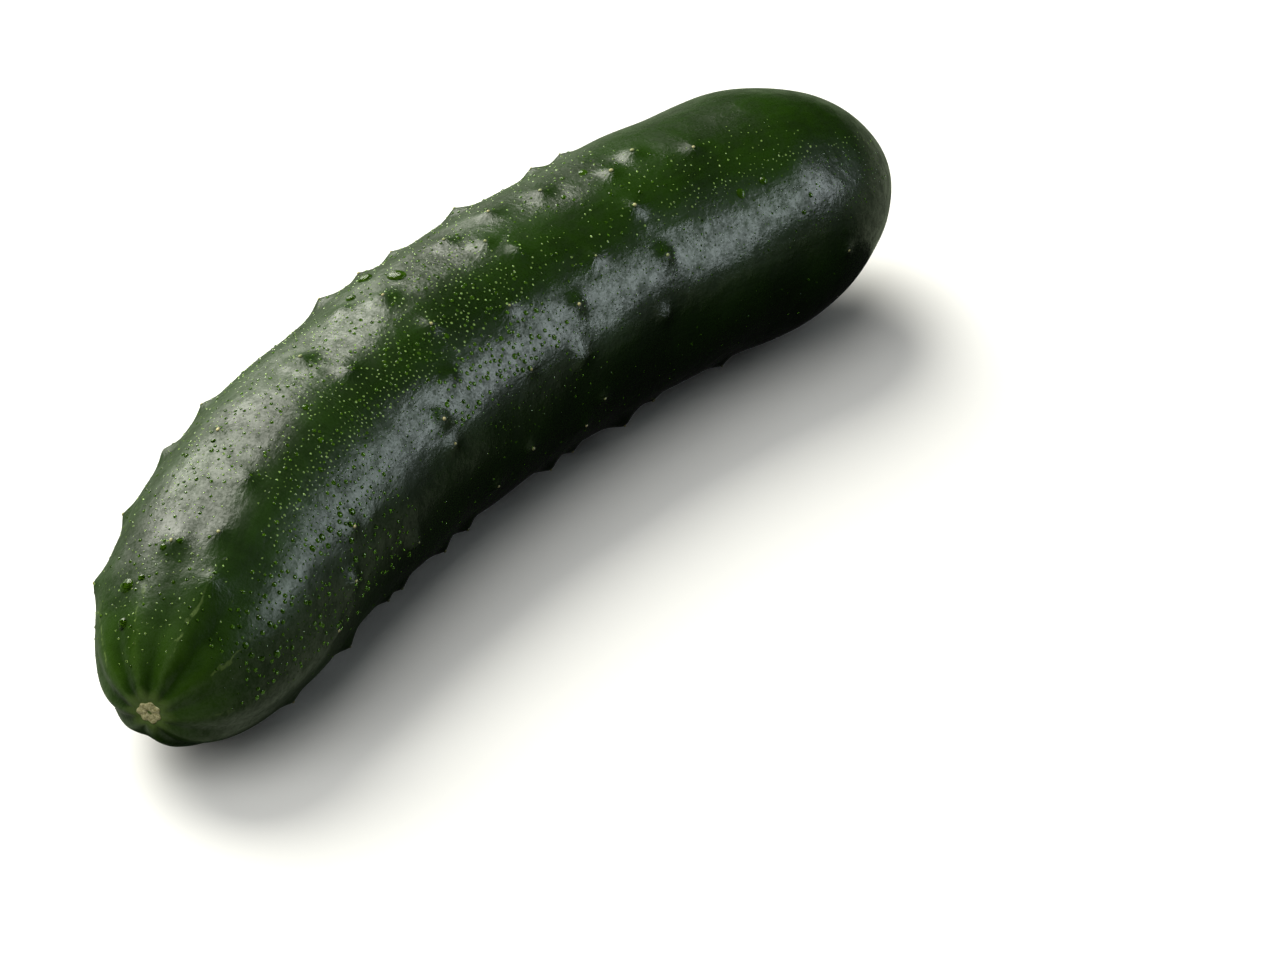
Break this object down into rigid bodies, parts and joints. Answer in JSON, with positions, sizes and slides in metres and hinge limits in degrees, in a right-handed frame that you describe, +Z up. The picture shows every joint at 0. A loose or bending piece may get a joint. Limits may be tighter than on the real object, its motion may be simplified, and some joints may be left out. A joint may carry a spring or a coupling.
{
  "type": "cucumber",
  "caption": "Whole slicing cucumber lying on its side: a bent dark green body with low warts, a slim end with a dry scar and a smooth round end.",
  "frame": {"origin": "centre of the bounding box in X and Y, on the surface the cucumber lies on (Z = 0)", "axes": "+X along the length towards the smooth round end, with the scar at the -X end; +Y towards the outside of the bend; +Z up"},
  "size_m": [0.231, 0.0636, 0.0533],
  "materials": {
    "skin": "waxy satin skin, very dark green, paler at the scar end",
    "scar": "dry and corky, straw coloured",
    "water": "clear fresh water in small drops"
  },
  "bodies": {
    "root": {"cucumber": "skin"}
  },
  "joints": []
}
